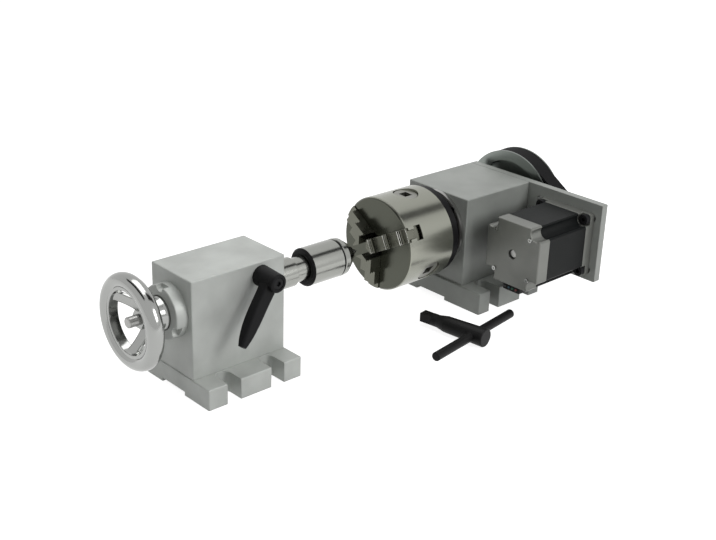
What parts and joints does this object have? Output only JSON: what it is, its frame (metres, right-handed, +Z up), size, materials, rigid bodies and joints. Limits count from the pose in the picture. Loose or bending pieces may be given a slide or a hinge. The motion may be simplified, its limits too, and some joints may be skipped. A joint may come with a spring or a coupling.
{
  "type": "cnc rotary axis",
  "caption": "Rotary axis for a router: belt-driven headstock with a self-centring scroll chuck, tailstock with live centre and handwheel, and a chuck key.",
  "frame": {"origin": "on the spindle axis at the front face of the chuck", "axes": "+X along the spindle axis from the tailstock to the headstock, +Z up, the motor on the -Y side"},
  "size_m": [0.4407, 0.1724, 0.114],
  "materials": {
    "head_blocks": "blasted satin aluminium",
    "tail_blocks": "blasted satin aluminium",
    "dark_screws": "black oxide",
    "motor_silver": "satin cast caps",
    "motor_black": "semi-gloss black lacquered stack",
    "bright_screws": "plated",
    "connector": "black plastic",
    "steel": "ground steel",
    "chuck_steel": "ground and turned steel",
    "jaw_steel": "ground hardened steel",
    "adapter_black": "black oxide",
    "pinion_steel": "dark hardened steel",
    "scroll_steel": "machined steel",
    "pulleys": "turned aluminium",
    "belt": "matte black rubber",
    "rotor_iron": "laminated iron",
    "quill_steel": "polished steel",
    "bronze": "bearing bronze",
    "key_pin": "steel",
    "seal_black": "black",
    "wheel_chrome": "bright chrome",
    "lever_black": "black moulded plastic",
    "key_black": "black oxide"
  },
  "bodies": {
    "frame": {"head_base": "head_blocks", "head_body": "head_blocks", "head_base_screws": "dark_screws", "motor_plate": "head_blocks", "plate_screws": "dark_screws", "motor_flange": "motor_silver", "motor_stack": "motor_black", "motor_end_cap": "motor_silver", "motor_tie_screws": "bright_screws", "motor_screws": "dark_screws", "motor_nuts": "dark_screws", "lead_connector": "connector", "motor_bearings": "steel", "spindle_outer_races": "steel", "bearing_cover": "steel", "cover_screws": "dark_screws", "drive_belt": "belt"},
    "spindle": {"spindle": "steel", "nose_screws": "dark_screws", "chuck_adapter": "adapter_black", "chuck_body": "chuck_steel", "chuck_back_cover": "chuck_steel", "back_cover_screws": "dark_screws", "chuck_screws": "dark_screws", "spindle_inner_races": "steel", "bearing_spacers": "steel", "drive_pulley": "pulleys", "spindle_nut": "dark_screws"},
    "rotor": {"motor_shaft": "steel", "motor_rotor": "rotor_iron", "motor_pulley": "pulleys"},
    "scroll": {"scroll_plate": "scroll_steel"},
    "pinion_1": {"pinion_1": "pinion_steel"},
    "pinion_2": {"pinion_2": "pinion_steel"},
    "pinion_3": {"pinion_3": "pinion_steel"},
    "jaw_1": {"jaw_1": "jaw_steel"},
    "jaw_2": {"jaw_2": "jaw_steel"},
    "jaw_3": {"jaw_3": "jaw_steel"},
    "tailstock": {"tail_base": "tail_blocks", "tail_body": "tail_blocks", "tail_base_screws": "dark_screws", "notched_ring": "tail_blocks", "quill_key": "key_pin", "clamp_cotters": "bronze"},
    "handwheel": {"handwheel": "wheel_chrome", "lead_screw": "steel", "wheel_nut": "bright_screws"},
    "quill": {"quill": "quill_steel", "quill_nut": "bronze", "centre_housing": "quill_steel", "centre_rear_ring": "seal_black", "centre_seal": "seal_black", "centre_cap": "quill_steel", "centre_bearings": "steel"},
    "centre_point": {"centre_point": "quill_steel"},
    "clamp_screw": {"clamp_screw": "steel"},
    "clamp_lever": {"clamp_lever": "lever_black", "lever_cap_screw": "dark_screws"},
    "chuck_key": {"chuck_key": "key_black", "key_bar": "key_black"}
  },
  "joints": [
    {"name": "spindle_spin", "type": "hinge", "parent": "frame", "child": "spindle", "pos_m": [0.1, 0, 0], "axis": [1, 0, 0], "continuous": true, "deforming": ["drive_belt"]},
    {"name": "motor_spin", "type": "hinge", "parent": "frame", "child": "rotor", "pos_m": [0.1, -0.07979, -0.0039], "axis": [1, 0, 0], "continuous": true},
    {"name": "scroll_turn", "type": "hinge", "parent": "spindle", "child": "scroll", "pos_m": [0.015, 0, 0], "axis": [1, 0, 0], "range_deg": [-288, 504]},
    {"name": "jaw_1_slide", "type": "slide", "parent": "spindle", "child": "jaw_1", "axis": [0, -0.8878, 0.4602], "range_m": [-0.00401, 0.00701]},
    {"name": "jaw_2_slide", "type": "slide", "parent": "spindle", "child": "jaw_2", "axis": [0, 0.8425, 0.5388], "range_m": [-0.00401, 0.00701]},
    {"name": "jaw_3_slide", "type": "slide", "parent": "spindle", "child": "jaw_3", "axis": [0, 0.0454, -0.999], "range_m": [-0.00401, 0.00701]},
    {"name": "pinion_1_turn", "type": "hinge", "parent": "spindle", "child": "pinion_1", "pos_m": [0.0293, -0.00136, 0.02997], "axis": [0, -0.0454, 0.999], "range_deg": [-1180, 2064]},
    {"name": "pinion_2_turn", "type": "hinge", "parent": "spindle", "child": "pinion_2", "pos_m": [0.0293, 0.02663, -0.01381], "axis": [0, 0.8878, -0.4602], "range_deg": [-1180, 2064]},
    {"name": "pinion_3_turn", "type": "hinge", "parent": "spindle", "child": "pinion_3", "pos_m": [0.0293, -0.02527, -0.01616], "axis": [0, -0.8425, -0.5388], "range_deg": [-1180, 2064]},
    {"name": "tailstock_slide", "type": "slide", "parent": "frame", "child": "tailstock", "axis": [1, 0, 0], "range_m": [-0.1, 0]},
    {"name": "handwheel_turn", "type": "hinge", "parent": "tailstock", "child": "handwheel", "pos_m": [-0.21, 0, 0], "axis": [1, 0, 0], "range_deg": [-2880, 720]},
    {"name": "quill_slide", "type": "slide", "parent": "tailstock", "child": "quill", "axis": [1, 0, 0], "range_m": [-0.02001, 0.00501]},
    {"name": "centre_spin", "type": "hinge", "parent": "quill", "child": "centre_point", "pos_m": [-0.05, 0, 0], "axis": [1, 0, 0], "continuous": true},
    {"name": "clamp_screw_turn", "type": "hinge", "parent": "tailstock", "child": "clamp_screw", "pos_m": [-0.1425, -0.02, 0.0185], "axis": [0, 1, 0], "range_deg": [-60, 40]},
    {"name": "lever_pull", "type": "slide", "parent": "clamp_screw", "child": "clamp_lever", "axis": [0, -1, 0], "range_m": [0, 0.004], "stiffness_N_per_m": 200},
    {"name": "key_draw", "type": "slide", "parent": "frame", "child": "chuck_key", "axis": [0, -1, 0], "range_m": [0, 0.15]}
  ],
  "couplings": [
    {"joint": "motor_spin", "follows": "spindle_spin", "ratio": 6},
    {"joint": "jaw_1_slide", "follows": "scroll_turn", "m_per_rad": 0.00079577},
    {"joint": "jaw_2_slide", "follows": "scroll_turn", "m_per_rad": 0.00079577},
    {"joint": "jaw_3_slide", "follows": "scroll_turn", "m_per_rad": 0.00079577},
    {"joint": "pinion_1_turn", "follows": "scroll_turn", "ratio": 4.0909},
    {"joint": "pinion_2_turn", "follows": "scroll_turn", "ratio": 4.0909},
    {"joint": "pinion_3_turn", "follows": "scroll_turn", "ratio": 4.0909},
    {"joint": "quill_slide", "follows": "handwheel_turn", "m_per_rad": 0.00039789}
  ]
}
